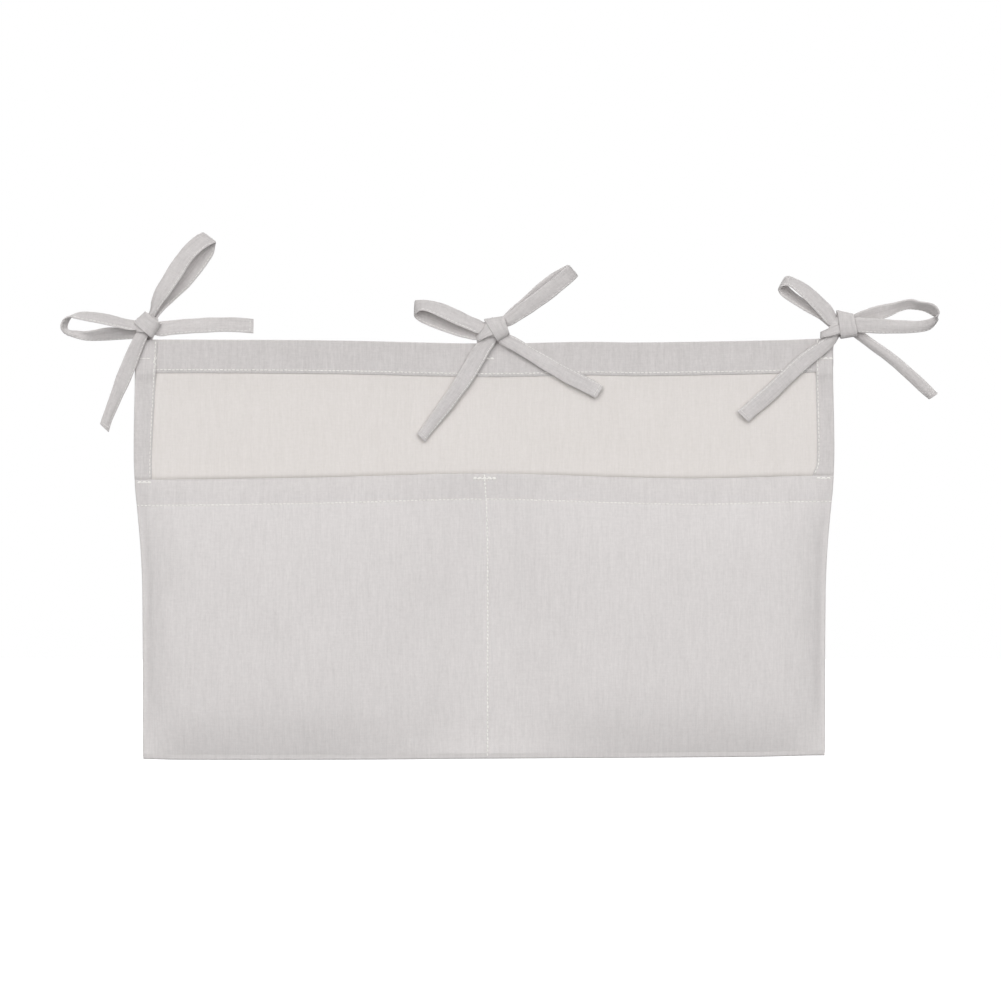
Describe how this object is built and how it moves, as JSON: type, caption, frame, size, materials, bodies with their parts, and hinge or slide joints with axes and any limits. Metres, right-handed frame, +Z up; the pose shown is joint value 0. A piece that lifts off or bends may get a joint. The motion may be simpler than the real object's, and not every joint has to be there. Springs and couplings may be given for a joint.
{
  "type": "bedside caddy",
  "caption": "Flat cloth caddy that ties to a bed rail: a hemmed panel with side-by-side open pockets on the front and bow-tied straps along the top edge.",
  "frame": {"origin": "middle of the top edge, on the rear face of the back panel, at the line of the ties", "axes": "+X along the top edge to the right as seen from the front, +Y out of the rear face, so the front faces -Y, +Z up"},
  "size_m": [0.6285, 0.0191, 0.3769],
  "materials": {
    "panel_cloth": "matte woven cotton, warm light grey with fine upright slubs",
    "reverse_cloth": "matte woven cotton, the paler creamy side of the panel cloth",
    "strap_cloth": "matte woven cotton, folded into a flat strap",
    "thread": "matte spun sewing thread, off-white"
  },
  "bodies": {
    "caddy": {"back_panel": "reverse_cloth", "bottom_fold": "panel_cloth", "top_hem": "panel_cloth", "top_hem_thread": "thread", "side_hem_left": "panel_cloth", "side_hem_thread_left": "thread", "seam_allowance_left": "panel_cloth", "side_margin_left": "panel_cloth", "corner_tack_left": "thread", "side_hem_right": "panel_cloth", "side_hem_thread_right": "thread", "seam_allowance_right": "panel_cloth", "side_margin_right": "panel_cloth", "corner_tack_right": "thread", "centre_margin": "panel_cloth", "centre_seam_thread": "thread", "centre_rim_tack": "thread", "strap_anchor_left": "strap_cloth", "knot_left": "strap_cloth", "tie_tack_left": "thread", "strap_anchor_centre": "strap_cloth", "knot_centre": "strap_cloth", "tie_tack_centre": "thread", "strap_anchor_right": "strap_cloth", "knot_right": "strap_cloth", "tie_tack_right": "thread"},
    "pocket_left": {"pocket_front_left": "panel_cloth", "pocket_hem_left": "panel_cloth", "pocket_hem_thread_left": "thread"},
    "pocket_right": {"pocket_front_right": "panel_cloth", "pocket_hem_right": "panel_cloth", "pocket_hem_thread_right": "thread"},
    "left_upper_loop": {"loop_left_upper": "strap_cloth"},
    "left_outer_loop": {"loop_left_outer": "strap_cloth"},
    "left_inner_tail": {"tail_left_inner": "strap_cloth"},
    "left_lower_tail": {"tail_left_lower": "strap_cloth"},
    "centre_upper_loop": {"loop_centre_upper": "strap_cloth"},
    "centre_outer_loop": {"loop_centre_outer": "strap_cloth"},
    "centre_left_tail": {"tail_centre_left": "strap_cloth"},
    "centre_right_tail": {"tail_centre_right": "strap_cloth"},
    "right_upper_loop": {"loop_right_upper": "strap_cloth"},
    "right_outer_loop": {"loop_right_outer": "strap_cloth"},
    "right_outer_tail": {"tail_right_outer": "strap_cloth"},
    "right_inner_tail": {"tail_right_inner": "strap_cloth"}
  },
  "joints": [
    {"name": "pocket_left_open", "type": "hinge", "parent": "caddy", "child": "pocket_left", "pos_m": [-0.122, -0.0034, -0.2962], "axis": [1, 0, 0], "range_deg": [0, 8], "stiffness_Nm_per_rad": 0.3},
    {"name": "pocket_right_open", "type": "hinge", "parent": "caddy", "child": "pocket_right", "pos_m": [0.122, -0.0034, -0.29474], "axis": [1, 0, 0], "range_deg": [0, 8], "stiffness_Nm_per_rad": 0.3},
    {"name": "left_upper_loop_bend", "type": "hinge", "parent": "caddy", "child": "left_upper_loop", "pos_m": [-0.23513, -0.006, 0.02033], "axis": [0.807, 0, -0.5906], "range_deg": [-35, 35], "stiffness_Nm_per_rad": 0.004},
    {"name": "left_outer_loop_bend", "type": "hinge", "parent": "caddy", "child": "left_outer_loop", "pos_m": [-0.25064, -0.006, 0.01038], "axis": [0, 0, 1], "range_deg": [-35, 35], "stiffness_Nm_per_rad": 0.004},
    {"name": "left_inner_tail_bend", "type": "hinge", "parent": "caddy", "child": "left_inner_tail", "pos_m": [-0.23089, -0.0035, 0.00916], "axis": [0.014, 0, -0.9999], "range_deg": [-60, 60], "stiffness_Nm_per_rad": 0.004},
    {"name": "left_lower_tail_bend", "type": "hinge", "parent": "caddy", "child": "left_lower_tail", "pos_m": [-0.2442, -0.006, 0.00051], "axis": [-0.9245, 0, 0.3811], "range_deg": [0, 60], "stiffness_Nm_per_rad": 0.004},
    {"name": "centre_upper_loop_bend", "type": "hinge", "parent": "caddy", "child": "centre_upper_loop", "pos_m": [0.01715, -0.006, 0.01385], "axis": [0.5793, 0, -0.8151], "range_deg": [-35, 35], "stiffness_Nm_per_rad": 0.004},
    {"name": "centre_outer_loop_bend", "type": "hinge", "parent": "caddy", "child": "centre_outer_loop", "pos_m": [-0.00438, -0.006, 0.00964], "axis": [0.2487, 0, 0.9686], "range_deg": [-35, 35], "stiffness_Nm_per_rad": 0.004},
    {"name": "centre_left_tail_bend", "type": "hinge", "parent": "caddy", "child": "centre_left_tail", "pos_m": [0.00146, -0.0055, -0.00063], "axis": [-0.8358, 0, 0.549], "range_deg": [0, 60], "stiffness_Nm_per_rad": 0.004},
    {"name": "centre_right_tail_bend", "type": "hinge", "parent": "caddy", "child": "centre_right_tail", "pos_m": [0.0154, -0.0055, 0.00131], "axis": [-0.503, 0, -0.8643], "range_deg": [0, 60], "stiffness_Nm_per_rad": 0.004},
    {"name": "right_upper_loop_bend", "type": "hinge", "parent": "caddy", "child": "right_upper_loop", "pos_m": [0.24685, -0.006, 0.01779], "axis": [0.565, 0, 0.8251], "range_deg": [-35, 35], "stiffness_Nm_per_rad": 0.004},
    {"name": "right_outer_loop_bend", "type": "hinge", "parent": "caddy", "child": "right_outer_loop", "pos_m": [0.27006, -0.007, 0.01214], "axis": [0.1374, 0, -0.9905], "range_deg": [-35, 35], "stiffness_Nm_per_rad": 0.004},
    {"name": "right_outer_tail_bend", "type": "hinge", "parent": "caddy", "child": "right_outer_tail", "pos_m": [0.26855, -0.0028, 0.00389], "axis": [-0.5864, 0, -0.81], "range_deg": [-60, 60], "stiffness_Nm_per_rad": 0.004},
    {"name": "right_inner_tail_bend", "type": "hinge", "parent": "caddy", "child": "right_inner_tail", "pos_m": [0.24922, -0.0065, 0.00191], "axis": [-0.6833, 0, 0.7302], "range_deg": [0, 60], "stiffness_Nm_per_rad": 0.004}
  ]
}
